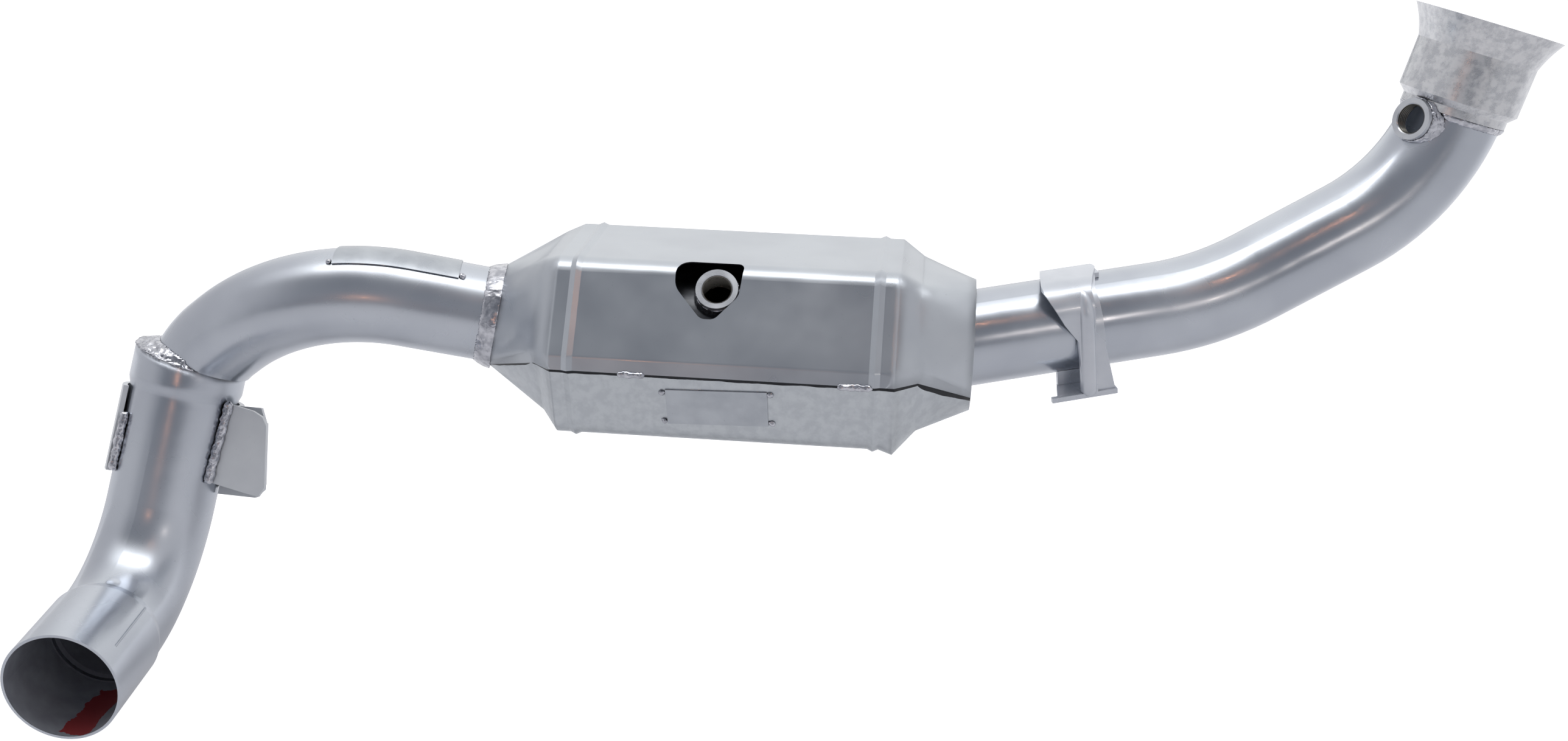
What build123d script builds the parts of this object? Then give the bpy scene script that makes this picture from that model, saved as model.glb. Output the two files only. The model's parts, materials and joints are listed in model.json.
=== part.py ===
from build123d import *
import math
import os

os.makedirs("parts", exist_ok=True)

# Catalytic converter with its inlet and outlet pipes, in millimetres.
# X runs along the converter body towards the inlet, Z is up, and -Y is the side with the sensor port.
# Everything is modelled about the middle of the body. At the end it is moved so that the origin
# is the centre of the inlet collar's bore, where the part is fastened.

# Tubes
pipe_od = 57.15
pipe_wall = 1.6
slip_gap = 0.15
tail_od = 63.5
tail_wall = 1.6
tail_top_od = 67.4
tail_top_length = 17.0
tail_mouth_od = 67.0
tail_mouth_length = 57.0
tail_step_length = 6.0

# Routes, as the corners of the tube centre lines, with the radius of each bend
inlet_root = Vector(120, 0, 0)
inlet_corner_1 = Vector(286, 44, 22)
inlet_corner_2 = Vector(409, 69.3, 92.4)
inlet_end = Vector(421.8, 72.5, 141.9)
inlet_radius_1 = 168.0
inlet_radius_2 = 118.0
outlet_root = Vector(-124, 0, 0)
outlet_corner = Vector(-258, -26, 27.6)
outlet_corner_2 = Vector(-321.2, -14.3, -22.3)
outlet_end = Vector(-334.3, -15.2, -40.1)
outlet_radius = 127.0
outlet_radius_2 = 60.0
tail_top = Vector(-336.0, -13.5, -31.2)
tail_corner = Vector(-360.5, -61, -166.5)
tail_mouth = Vector(-352.5, -179, -168)
tail_radius = 76.2
joint_facing = Vector(-0.31, -0.245, -0.915)
joint_weld_bulge = 1.8
joint_weld_rise = 9.0

# Inlet collar
collar_od = 69.8
collar_wall = 2.0
collar_length = 33.0
collar_neck_length = 4.5
collar_shoulder = 4.0
flare_length = 18.2
flare_od = 86.4
pipe_in_collar = 3.5

# Sensor ports, for an M18 sensor
bung_od = 24.4
bung_bore_r = 8.25
bung_chamfer = 1.0
drill_margin = 1.0
body_bung_x = -4.0
body_bung_elevation = 42.0
body_bung_reach = 63.5
inlet_bung_back = 13.0
inlet_bung_axis = Vector(-0.731, -0.595, 0.333)
inlet_bung_reach = 36.5
bung_weld = 3.6

# Converter can, pressed in two halves
can_half_length = 90.0
can_half_flat = 18.0
can_radius = 40.0
can_wall = 1.5
can_neck_length = 12.0
mat_thickness = 4.0
mat_inset = 3.0
brick_length = 66.0
brick_gap = 28.0

# Heat shield, pressed in two halves that lap at the side seams
shield_wall = 1.2
shield_half_width = 75.6
shield_top = 53.8
shield_top_half_flat = 41.0
shield_bottom = -49.8
shield_bottom_half_flat = 58.0
shield_corner_r = 13.0
shield_low_corner_r = 15.0
lip_drop = -1.5
lip_height = 8.0
lip_flare = 1.6
lip_bend_r = 4.0
lap_gap = 0.3
lap_height = 6.0
prism_left = -97.0
prism_right = 100.0
step_left = -107.0
step_right = 113.0
shield_left = -144.0
shield_right = 144.0
right_opening_r = 40.0
left_opening_gap = 0.4
left_dip = 48.0
right_dip = 30.0
end_lap = 9.0
bead_left = -85.8
bead_right = 88.7
bead_half_width = 3.2
bead_rise = 1.3
corner_bulge = 2.2
flange_gap = 0.3

# Cut-out for the sensor, on the shield's front shoulder: across X, then up the slope from its top corner
cutout_x = -7.0
cutout_points = [(-21.5, 4), (18, 4), (16, -17), (3, -31.5), (-5, -31.5), (-21, -13)]
cutout_radii = [9, 4, 9, 6, 6, 12]

# Plates and brackets
label_length = 58.5
label_height = 24.0
label_thickness = 0.8
label_x = -1.2
label_drop = 16.5
label_turn = 2.0
badge_start = 47.0
badge_length = 66.0
badge_from = -70.0
badge_to = 12.0
badge_gap = 0.2
tack_r = 2.0
strap_left = 60.0
strap_rib_left = 81.0
strap_rib_right = 91.0
strap_right = 103.0
strap_thickness = 3.0
strap_stand_off = 1.8
strap_corner = 15.0
strap_behind = -50.0
strap_bottom = -36.4
strap_lean = 0.3
channel_left = 65.7
channel_right = 104.0
channel_depth = 21.3
strap_top_left = [(78, -30), (69.4, -3.6), (63, 20), (62.6, 40)]
strap_top_right = [(103, -30), (102.6, 0), (91, 27), (91, 40)]
strap_left_edge = [(62.6, 32), (62.9, 30), (65.3, 25), (72.5, 11), (80.3, -0.4), (82, -33.4)]
strap_right_edge = [(101.5, 33), (96.5, 27), (96.7, 10), (97.4, -7), (102.8, -37.6)]
saddle_start = 23.0
saddle_height = 53.0
saddle_thickness = 3.0
saddle_stand_off = 1.6
saddle_from = 96.0
saddle_to = 310.0
wing_ahead = 9.0
wing_depth = 12.0
wing_lean = 5.0
wing_outline = [(31, 21), (49, 22), (55.7, 24.3), (59.3, 29), (66.5, 66.5), (63.6, 72.8), (31, 71)]
wing_back = [(31, 23), (49, 20.6), (54.4, 30.4), (61.8, 69.8), (57.4, 75.8), (31, 79.2)]
weld_r = 2.8

pipe_r = pipe_od / 2
tail_r = tail_od / 2
bung_r = bung_od / 2


def unit(vector):
    return vector.normalized()


inlet_dir = unit(inlet_corner_1 - inlet_root)
outlet_dir = unit(outlet_corner - outlet_root)
outlet_run_dir = unit(outlet_corner_2 - outlet_corner)
outlet_last_dir = unit(outlet_end - outlet_corner_2)
collar_dir = unit(inlet_end - inlet_corner_2)
tail_dir = unit(tail_corner - tail_top)
mouth_dir = unit(tail_mouth - tail_corner)
joint_dir = unit(joint_facing)
toward_view = Vector(-0.02, -0.94, 0.34)


def disc(plane, radius, length):
    return extrude(plane * Circle(radius), length)


def tube(plane, outer, inner, length):
    return extrude(plane * (Circle(outer) - Circle(inner)), length)


def along_route(points, radii, side, profile):
    # straight runs joined by tangent arcs; profile(plane) gives the section to carry along
    solid = None
    start = points[0]
    for index, radius in enumerate(radii, 1):
        way_in = unit(points[index] - points[index - 1])
        way_out = unit(points[index + 1] - points[index])
        turn = math.radians(way_in.get_angle(way_out))
        set_back = radius * math.tan(turn / 2)
        bend_start = points[index] - way_in * set_back
        plane = Plane(origin=start, x_dir=square_to(side, way_in), z_dir=way_in)
        run = extrude(profile(plane), (bend_start - start).length)
        solid = run if solid is None else solid + run
        hinge = unit(way_in.cross(way_out))
        centre = bend_start + hinge.cross(way_in) * radius
        plane = Plane(origin=bend_start, x_dir=square_to(side, way_in), z_dir=way_in)
        bend = revolve(profile(plane), axis=Axis(centre, hinge), revolution_arc=math.degrees(turn))
        solid = solid + bend
        start = points[index] + way_out * set_back
    last = unit(points[-1] - points[-2])
    plane = Plane(origin=start, x_dir=square_to(side, last), z_dir=last)
    return solid + extrude(profile(plane), (points[-1] - start).length)


def square_to(vector, axis):
    return unit(vector - axis * vector.dot(axis))


def bent_tube(points, radii, outer, inner):
    side = points[0].cross(points[1]) + Vector(0, 0.3, 1)
    return along_route(points, radii, side, lambda plane: plane * (Circle(outer) - Circle(inner)))


def bent_rod(points, radii, outer):
    side = points[0].cross(points[1]) + Vector(0, 0.3, 1)
    return along_route(points, radii, side, lambda plane: plane * Circle(outer))


def keep_below(solid, point, normal):
    # keep what lies on the side that the normal points away from
    size = 400
    block = Box(size, size, size, align=(Align.CENTER, Align.CENTER, Align.MIN))
    block = Plane(origin=point, z_dir=normal) * block
    return solid - block


# Inlet pipe and collar

inlet_points = [inlet_root, inlet_corner_1, inlet_corner_2, inlet_end + collar_dir * pipe_in_collar]
inlet_radii = [inlet_radius_1, inlet_radius_2]


def collar_profile():
    # radius against height above the collar's lower edge, outside then back down the inside
    body_r = collar_od / 2
    flare_r = flare_od / 2
    neck_r = pipe_r + slip_gap + collar_wall
    low = -collar_neck_length
    top = collar_length + flare_length
    wall = collar_wall
    outside = [(neck_r, low), (neck_r, 0), (body_r, collar_shoulder), (body_r, collar_length)]
    inside = [(body_r - wall, collar_length), (body_r - wall, collar_shoulder + 1), (neck_r - wall, 1),
              (neck_r - wall, low)]
    with BuildLine() as outline:
        Polyline(*outside)
        ThreePointArc(outside[-1], (body_r + 2.6, collar_length + 7.5), (flare_r, top))
        Line((flare_r, top), (flare_r - wall, top))
        ThreePointArc((flare_r - wall, top), (body_r - wall + 2.6, collar_length + 7.5 + 0.6), inside[0])
        Polyline(*inside)
        Line(inside[-1], outside[0])
    return make_face(outline.line)


collar_plane = Plane(origin=inlet_end, x_dir=square_to(Vector(1, 0, 0), collar_dir), z_dir=collar_dir)


def make_inlet_flare_collar():
    section = Plane(origin=(0, 0, 0), x_dir=(1, 0, 0), z_dir=(0, -1, 0)) * collar_profile()
    return collar_plane.location * revolve(section, axis=Axis.Z)


def make_inlet_pipe():
    pipe = bent_tube(inlet_points, inlet_radii, pipe_r, pipe_r - pipe_wall)
    return pipe - inlet_bung_drill()


def inlet_bung_plane():
    # the bung's axis, square to the pipe, a little below the collar
    foot = inlet_end - collar_dir * inlet_bung_back
    outward = square_to(inlet_bung_axis, collar_dir)
    return Plane(origin=foot, x_dir=collar_dir, z_dir=outward)


def inlet_bung_drill():
    return disc(inlet_bung_plane(), bung_bore_r + drill_margin, inlet_bung_reach)


def bung(plane, reach, seat):
    # a threaded ring, square at its mouth and cut at its foot to the surface that it is welded to
    length = 18.0
    base = plane.offset(reach - length)
    ring = tube(base, bung_r, bung_bore_r, length)
    mouth = plane.offset(reach - bung_chamfer)
    ring -= mouth * Cone(bung_bore_r, bung_bore_r + bung_chamfer, bung_chamfer,
                         align=(Align.CENTER, Align.CENTER, Align.MIN))
    return ring - seat


def bung_fillet(plane, reach, foot, seat, spread):
    # the weld round a bung: a cone that thins towards the mouth, open where the bung stands
    height = reach - 3.0 - foot
    bead = plane.offset(foot) * Cone(bung_r + spread, bung_r + 0.4, height,
                                     align=(Align.CENTER, Align.CENTER, Align.MIN))
    return bead - disc(plane, bung_r, reach) - seat


def inlet_rod():
    return bent_rod(inlet_points, inlet_radii, pipe_r)


def make_inlet_sensor_bung():
    neck_r = pipe_r + slip_gap + collar_wall
    collar_room = disc(collar_plane.offset(-collar_neck_length - 3.0), neck_r, 60)
    return bung(inlet_bung_plane(), inlet_bung_reach, inlet_rod() + collar_room)


def collar_solid():
    room = disc(collar_plane.offset(-collar_neck_length), pipe_r + slip_gap + collar_wall, 6)
    return room + collar_plane * Cone(pipe_r + slip_gap + collar_wall, collar_od / 2, collar_shoulder,
                                      align=(Align.CENTER, Align.CENTER, Align.MIN)) \
        + disc(collar_plane.offset(collar_shoulder), collar_od / 2, 20)


def make_inlet_bung_weld():
    return bung_fillet(inlet_bung_plane(), inlet_bung_reach, 24.0, inlet_rod() + collar_solid(), bung_weld)


def ring_weld(plane, inner, foot_r, width):
    # a rounded ring of weld about a tube
    profile = Plane.XZ * make_face(
        Curve() + [Line((inner, 0), (foot_r, 0)),
                   ThreePointArc((foot_r, 0), ((inner + foot_r) / 2 + 0.9, width * 0.45), (inner, width)),
                   Line((inner, width), (inner, 0))])
    return plane.location * revolve(profile, axis=Axis.Z)


def make_collar_weld():
    neck_end = inlet_end - collar_dir * collar_neck_length
    down = Plane(origin=neck_end, x_dir=collar_plane.x_dir, z_dir=-collar_dir)
    ring = ring_weld(down, pipe_r, pipe_r + slip_gap + collar_wall, 4.0)
    keep_out = disc(inlet_bung_plane(), bung_r, inlet_bung_reach)
    cone = inlet_bung_plane().offset(20) * Cone(bung_r + bung_weld + 1.2, bung_r + 1, 16,
                                                align=(Align.CENTER, Align.CENTER, Align.MIN))
    return ring - keep_out - cone - inlet_rod()


# Strap bracket over the inlet pipe

strap_up = square_to(Vector(0, 0, 1), inlet_dir)
strap_front = inlet_dir.cross(strap_up)


def on_strap(along, ahead, lift):
    return inlet_root + inlet_dir * along + strap_front * ahead + strap_up * lift


def strap_plane(along):
    # across the inlet pipe, with x to the front and y up
    return Plane(origin=on_strap(along, 0, 0), x_dir=strap_front, z_dir=-inlet_dir)


def strap_run(edges, start, finish):
    face = strap_plane(start) * Face(Wire(edges))
    return extrude(face, finish - start, dir=inlet_dir)


def round_spot(radius, angle):
    # on a circle about the pipe, 0 degrees at the top and 90 at the front
    turn = math.radians(angle)
    return Vector(radius * math.sin(turn), radius * math.cos(turn))


def strap_sheet(inner, corner, start, finish):
    # sheet over the pipe's top, round a corner and straight down its front
    outer = inner + strap_thickness
    corner_in = inner - corner
    half = math.sqrt(0.5)
    edges = [ThreePointArc(round_spot(outer, strap_behind), round_spot(outer, strap_behind / 2), (0, outer)),
             ThreePointArc((0, inner), round_spot(inner, strap_behind / 2), round_spot(inner, strap_behind)),
             Line(round_spot(inner, strap_behind), round_spot(outer, strap_behind))]
    if corner_in > 0.01:
        edges.append(Line((0, outer), (corner_in, outer)))
        edges.append(Line((corner_in, inner), (0, inner)))
    bend_out = corner_in + (corner + strap_thickness) * half
    bend_in = corner_in + corner * half
    edges += [ThreePointArc((corner_in, outer), (bend_out, bend_out), (outer, corner_in)),
              Line((outer, corner_in), (outer, strap_bottom)),
              Line((outer, strap_bottom), (inner, strap_bottom)),
              Line((inner, strap_bottom), (inner, corner_in)),
              ThreePointArc((inner, corner_in), (bend_in, bend_in), (corner_in, inner))]
    return strap_run(edges, start, finish)


def strap_slab(outline, low, high):
    # a plate seen from above, from one height to another
    spots = [on_strap(along, ahead, low) for along, ahead in outline]
    return extrude(make_face(Polyline(*spots, close=True)), high - low, dir=strap_up)


def strap_trim(edge, far):
    # what lies beside one edge of the strap, seen from the front
    spots = [on_strap(along, 6, lift) for along, lift in edge]
    spots += [on_strap(far, 6, edge[-1][1]), on_strap(far, 6, edge[0][1])]
    return extrude(make_face(Polyline(*spots, close=True)), 60, dir=strap_front)


def beside(edge, far):
    # what lies beside one edge of the strap, seen from above
    return strap_slab(edge + [(far, edge[-1][1]), (far, edge[0][1])], strap_bottom - 5, 60)


def make_inlet_hanger_bracket():
    hug = pipe_r + slip_gap
    proud = pipe_r + strap_stand_off
    outer = proud + strap_thickness
    bracket = strap_sheet(proud, strap_corner, strap_left, strap_right)
    bracket -= beside(strap_top_left, strap_left - 20)
    bracket -= beside(strap_top_right, strap_right + 20)
    bracket -= strap_trim(strap_left_edge, strap_left - 20)
    margin = strap_sheet(hug, hug, strap_rib_right - 1, strap_right)
    bracket += margin - strap_trim(strap_right_edge, strap_right + 20)
    # the rib runs up the front and fades out over the top corner
    rib_r = (strap_rib_right - strap_rib_left) / 2
    rib_along = strap_rib_left + rib_r
    rib_ahead = outer - rib_r / 2
    rib_route = [on_strap(rib_along, rib_ahead, strap_bottom + rib_r),
                 on_strap(rib_along, rib_ahead, rib_ahead - rib_r + 1),
                 on_strap(rib_along, strap_corner, rib_ahead - rib_r + 1)]
    rib = bent_rod(rib_route, [strap_corner - 1.5], rib_r)
    bracket += rib + Pos(*rib_route[0]) * Sphere(rib_r)
    back = outer - channel_depth
    lean = channel_depth * strap_lean
    floor = [(channel_left, outer), (channel_left + lean, back), (channel_right, back), (strap_right, outer)]
    wall_ahead = back + strap_thickness
    wall = [(channel_left + lean, back), (channel_left + lean, wall_ahead), (channel_right, wall_ahead),
            (channel_right, back)]
    bracket += strap_slab(floor, strap_bottom, strap_bottom + strap_thickness)
    bracket += strap_slab(wall, strap_bottom, -pipe_r * 0.7)
    return bracket - disc(Plane(origin=on_strap(strap_left - 20, 0, 0), z_dir=inlet_dir), hug, 80)


def bead_between(start, finish, radius):
    way = finish - start
    plane = Plane(origin=start, z_dir=unit(way))
    return disc(plane, radius, way.length) + Pos(*start) * Sphere(radius) + Pos(*finish) * Sphere(radius)


def band(inner, outer, start, finish):
    # an arc of sheet seen along a tube, in its own plane: 0 degrees is up, 90 is towards x
    middle = (start + finish) / 2
    return make_face(Curve() + [
        ThreePointArc(round_spot(outer, start), round_spot(outer, middle), round_spot(outer, finish)),
        Line(round_spot(outer, finish), round_spot(inner, finish)),
        ThreePointArc(round_spot(inner, finish), round_spot(inner, middle), round_spot(inner, start)),
        Line(round_spot(inner, start), round_spot(outer, start))])


def make_hanger_bracket_welds():
    pipe = disc(Plane(origin=on_strap(strap_left - 20, 0, 0), z_dir=inlet_dir), pipe_r, 90)
    seat = pipe + make_inlet_hanger_bracket()
    back_foot = pipe_r + strap_stand_off + strap_thickness - channel_depth
    places = [round_spot(pipe_r + 1.2, strap_behind - 4),
              Vector(back_foot - 1.0, -math.sqrt(pipe_r ** 2 - back_foot ** 2) - 0.5)]
    beads = []
    for spot in places:
        start = on_strap(strap_rib_left, spot.X, spot.Y)
        finish = on_strap(strap_right - 3, spot.X, spot.Y)
        beads.append(bead_between(start, finish, weld_r) - seat)
    return beads


# Converter can and what it holds

def slot_loop(plane, half_flat, radius, split=25.0):
    # a slot, or with no flat a circle, always as four edges so that one lofts to the other
    reach = half_flat + radius
    if half_flat > 0:
        corner_x, corner_y = half_flat, radius
        top = Line((corner_x, corner_y), (-corner_x, corner_y))
        bottom = Line((-corner_x, -corner_y), (corner_x, -corner_y))
    else:
        corner_x = radius * math.sin(math.radians(split))
        corner_y = radius * math.cos(math.radians(split))
        top = ThreePointArc((corner_x, corner_y), (0, radius), (-corner_x, corner_y))
        bottom = ThreePointArc((-corner_x, -corner_y), (0, -radius), (corner_x, -corner_y))
    right = ThreePointArc((corner_x, -corner_y), (reach, 0), (corner_x, corner_y))
    left = ThreePointArc((-corner_x, corner_y), (-reach, 0), (-corner_x, -corner_y))
    return plane * Face(Wire([right, top, left, bottom]))


def across_body(x):
    return Plane(origin=(x, 0, 0), x_dir=(0, 1, 0), z_dir=(1, 0, 0))


def neck_plane(root, direction):
    # square to a pipe where its neck starts, with its x axis level with the body's Y
    sideways = unit(Vector(0, 1, 0) - direction * direction.Y)
    return Plane(origin=root, x_dir=sideways, z_dir=direction)


def can_form(radius, neck_r, neck_extra):
    # the can's filled form, oval in the middle with a cone and a neck at each end
    middle = extrude(slot_loop(across_body(-can_half_length), can_half_flat, radius), 2 * can_half_length)
    form = middle
    for side, root, direction in ((1, inlet_root, inlet_dir), (-1, outlet_root, outlet_dir)):
        start = slot_loop(across_body(side * can_half_length), can_half_flat, radius)
        finish = slot_loop(neck_plane(root, side * direction), 0, neck_r)
        form = form + loft([start, finish], ruled=True)
        form = form + disc(Plane(origin=root, z_dir=direction), neck_r, can_neck_length + neck_extra)
    return form


neck_inner = pipe_r + slip_gap
neck_outer = neck_inner + can_wall


def can_cavity():
    return can_form(can_radius - can_wall, neck_inner, 1.0)


def can_outside():
    return can_form(can_radius, neck_outer, 0.0)


def seam_half_width():
    # half the width inside the lower shield at the height of the can's seam, where its wall slopes in
    rim = lower_half_width(shield_half_width)
    run = rim - shield_bottom_half_flat
    rise = lip_drop + lap_height - shield_bottom
    slope = run / rise
    return rim - slope * (lip_drop + lap_height + can_wall) - shield_wall * math.hypot(1, slope)


def flange_outline():
    # the can's pinched seam, wide enough to meet the shield's seam along the straight part
    wide = seam_half_width() - flange_gap
    reach_right = inlet_root.X - 4
    reach_left = outlet_root.X + 4
    end = can_half_length - 1
    narrow = neck_outer + 5
    return Polyline((reach_left, narrow), (-end, wide), (end, wide), (reach_right, narrow),
                    (reach_right, -narrow), (end, -wide), (-end, -wide), (reach_left, -narrow), close=True)


def can_half(side):
    # side is 1 for the upper half and -1 for the lower
    flange = extrude(Plane.XY * make_face(flange_outline()), side * can_wall)
    half_room = Pos(0, 0, side * 100) * Box(400, 300, 200)
    shell = (can_outside() & half_room) + flange
    return shell - can_cavity()


def body_bung_plane():
    lift = math.radians(body_bung_elevation)
    outward = Vector(0, -math.cos(lift), math.sin(lift))
    return Plane(origin=(body_bung_x, 0, 0), x_dir=(1, 0, 0), z_dir=outward)


def make_can_upper_half():
    return can_half(1) - disc(body_bung_plane(), bung_bore_r + drill_margin, body_bung_reach)


def make_can_lower_half():
    return can_half(-1)


def make_brick(x):
    radius = can_radius - can_wall - mat_thickness
    return extrude(slot_loop(across_body(x), can_half_flat, radius), brick_length)


def make_mat(x):
    outer_r = can_radius - can_wall
    length = brick_length - 2 * mat_inset
    outer = extrude(slot_loop(across_body(x + mat_inset), can_half_flat, outer_r), length)
    inner = extrude(slot_loop(across_body(x + mat_inset), can_half_flat, outer_r - mat_thickness), length)
    return outer - inner


def make_body_sensor_bung():
    return bung(body_bung_plane(), body_bung_reach, can_outside())


def make_body_bung_weld():
    return bung_fillet(body_bung_plane(), body_bung_reach, 48.0, can_outside(), 3.0)


def make_inlet_neck_weld():
    plane = Plane(origin=inlet_root + inlet_dir * can_neck_length, z_dir=inlet_dir)
    return ring_weld(plane, pipe_r, neck_outer, 5.0)


# Heat shield halves

def rounded_path(x, points, radii):
    # lines with tangent arcs at the inner corners, in the plane across the body at x
    edges = []
    start = Vector(x, *points[0])
    for index, radius in enumerate(radii, 1):
        corner = Vector(x, *points[index])
        way_in = unit(corner - Vector(x, *points[index - 1]))
        way_out = unit(Vector(x, *points[index + 1]) - corner)
        half_turn = math.radians(way_in.get_angle(way_out)) / 2
        set_back = radius * math.tan(half_turn)
        bend_start = corner - way_in * set_back
        bend_end = corner + way_out * set_back
        inward = unit(way_out - way_in)
        crown = corner + inward * (radius / math.cos(half_turn) - radius)
        edges.append(Line(start, bend_start))
        edges.append(ThreePointArc(bend_start, crown, bend_end))
        start = bend_end
    edges.append(Line(start, Vector(x, *points[-1])))
    return edges


def round_path(plane, radius, angles):
    # the same number of edges, all on one circle; angles are from the plane's x towards its y
    def at(angle):
        turn = math.radians(angle)
        return plane.from_local_coords((radius * math.cos(turn), radius * math.sin(turn), 0))
    return [ThreePointArc(at(a), at((a + b) / 2), at(b)) for a, b in zip(angles, angles[1:])]


def offset_points(points, distance):
    # an open outline moved inwards by a distance, its ends square to their own lines
    moved = []
    count = len(points)
    for index in range(count):
        here = Vector(*points[index])
        before = unit(here - Vector(*points[index - 1])) if index > 0 else None
        after = unit(Vector(*points[index + 1]) - here) if index < count - 1 else None
        if before is None:
            before = after
        if after is None:
            after = before
        normal_a = Vector(before.Y, -before.X)
        normal_b = Vector(after.Y, -after.X)
        middle = unit(normal_a + normal_b)
        spot = here + middle * (distance / middle.dot(normal_a))
        moved.append((spot.X, spot.Y))
    return moved


def ribbon(outer_edges, inner_edges):
    # a closed section of sheet, outside edge out and inside edge back
    start = outer_edges[0] @ 0
    finish = outer_edges[-1] @ 1
    inner_start = inner_edges[0] @ 0
    inner_finish = inner_edges[-1] @ 1
    return Face(Wire(outer_edges + [Line(finish, inner_finish)] + inner_edges + [Line(inner_start, start)]))


def upper_section(x, grow=0.0, half_width=shield_half_width, top=shield_top, half_flat=shield_top_half_flat):
    lip_top = lip_drop + lip_height
    shoulder = half_width - lip_flare + grow
    points = [(-(half_width + grow), lip_drop), (-shoulder, lip_top), (-(half_flat + grow / 2), top + grow),
              (half_flat + grow / 2, top + grow), (shoulder, lip_top), (half_width + grow, lip_drop)]
    radii = [lip_bend_r, shield_corner_r, shield_corner_r, lip_bend_r]
    outer = rounded_path(x, points, radii)
    inner_points = offset_points(points, shield_wall)
    inner_radii = [lip_bend_r + shield_wall, shield_corner_r - shield_wall, shield_corner_r - shield_wall,
                   lip_bend_r + shield_wall]
    return ribbon(outer, rounded_path(x, inner_points, inner_radii))


def upper_end(plane, radius, dip):
    # dip is how far below the middle the seam runs round the end ring, in degrees
    angles = [180 + dip, 174 + dip, 170 + dip * 0.8, 135, 110, 70, 45, 10 - dip * 0.8, 6 - dip, -dip]
    return ribbon(round_path(plane, radius, angles), round_path(plane, radius - shield_wall, angles))


def lower_half_width(half_width):
    # the lower half's rim stands inside the upper half's lip, which leans in as it goes up
    lean = lip_flare / lip_height
    return half_width - lean * lap_height - shield_wall * math.hypot(1, lean) - lap_gap


def lower_section(x, grow=0.0, half_width=shield_half_width, bottom=shield_bottom,
                  half_flat=shield_bottom_half_flat):
    rim = lower_half_width(half_width) + grow
    rim_z = lip_drop + lap_height
    points = [(rim, rim_z), (half_flat + grow / 2, bottom - grow), (-(half_flat + grow / 2), bottom - grow),
              (-rim, rim_z)]
    outer = rounded_path(x, points, [shield_low_corner_r] * 2)
    inner_points = offset_points(points, shield_wall)
    return ribbon(outer, rounded_path(x, inner_points, [shield_low_corner_r - shield_wall] * 2))


def lower_end(plane, radius, dip):
    rim = dip - end_lap
    angles = [-rim, -(rim + 90) / 2 - 8, -75, -105, (rim + 90) / 2 - 172, rim - 180]
    return ribbon(round_path(plane, radius, angles), round_path(plane, radius - shield_wall, angles))


def left_opening():
    # the shield closes in on the outlet pipe at its left end, so that end is square to the pipe
    spot = outlet_root + outlet_dir * ((shield_left - outlet_root.X) / outlet_dir.X)
    return neck_plane(spot, -outlet_dir)


left_opening_r = pipe_r + left_opening_gap + 2 * shield_wall + lap_gap
lap_step = shield_wall + lap_gap


def at_span(x, start_x, finish_x, start, finish):
    share = (x - start_x) / (finish_x - start_x)
    return start + (finish - start) * share


def shoulder_width(x):
    # the shield's plan narrows in a straight line from the prism to each end opening
    if x < prism_left:
        return at_span(x, prism_left, shield_left, shield_half_width, left_opening_r)
    return at_span(x, prism_right, shield_right, shield_half_width, right_opening_r)


def bead_sections(section, x):
    return [section(x - bead_half_width), section(x, bead_rise), section(x + bead_half_width)]


def make_upper_shell():
    opening_top = left_opening().origin.Z + left_opening_r
    step_top = at_span(step_left, prism_left, shield_left, shield_top, opening_top)
    sections = [upper_end(left_opening(), left_opening_r, left_dip)]
    left_width = shoulder_width(step_left)
    sections.append(upper_section(step_left, 0, left_width, step_top, shield_top_half_flat - 5))
    sections.append(upper_section(prism_left))
    sections += bead_sections(upper_section, bead_left)
    sections += bead_sections(upper_section, bead_right)
    sections.append(upper_section(prism_right))
    sections.append(upper_section(step_right, 0, shoulder_width(step_right), shield_top - 8, 34))
    sections.append(upper_end(across_body(shield_right), right_opening_r, right_dip))
    return loft(sections, ruled=True)


def make_lower_shell():
    sections = [lower_end(left_opening(), left_opening_r - lap_step, left_dip)]
    sections.append(lower_section(step_left, 0, shoulder_width(step_left), shield_bottom + 8, 46))
    sections.append(lower_section(prism_left))
    sections += bead_sections(lower_section, bead_left)
    sections += bead_sections(lower_section, bead_right)
    sections.append(lower_section(prism_right, 0, shield_half_width, shield_bottom - corner_bulge,
                                  shield_bottom_half_flat + corner_bulge))
    sections.append(lower_section(step_right, 0, shoulder_width(step_right), shield_bottom + 9, 47))
    sections.append(lower_end(across_body(shield_right), right_opening_r - lap_step, right_dip))
    return loft(sections, ruled=True)


def shoulder_plane():
    # on the front shoulder at its top corner: x along the body, y up the slope, z outwards
    top_corner = Vector(cutout_x, -shield_top_half_flat, shield_top)
    low = Vector(cutout_x, -(shield_half_width - lip_flare), lip_drop + lip_height)
    slope = unit(top_corner - low)
    return Plane(origin=top_corner, x_dir=(1, 0, 0), z_dir=Vector(1, 0, 0).cross(slope))


def make_upper_heat_shield():
    outline = FilletPolyline(*cutout_points, radius=cutout_radii, close=True)
    plane = shoulder_plane()
    opening = extrude(plane.offset(-16) * make_face(outline), 40)
    return make_upper_shell() - opening


def make_lower_heat_shield():
    return make_lower_shell()


# Plates, tacks and the welds on the body

def label_plane():
    # on the lower shield's front face: x along the body, y up the slope, z outwards
    rim = Vector(label_x, -lower_half_width(shield_half_width), lip_drop + lap_height)
    foot = Vector(label_x, -shield_bottom_half_flat, shield_bottom)
    slope = unit(rim - foot)
    turn = math.radians(label_turn)
    along = Vector(1, 0, 0) * math.cos(turn) + slope * math.sin(turn)
    return Plane(origin=rim - slope * label_drop, x_dir=along, z_dir=Vector(1, 0, 0).cross(slope))


def make_shield_label_plate():
    plane = label_plane()
    centre = plane.location * Pos(0, -label_height / 2, label_thickness / 2)
    return centre * Box(label_length, label_height, label_thickness)


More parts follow.
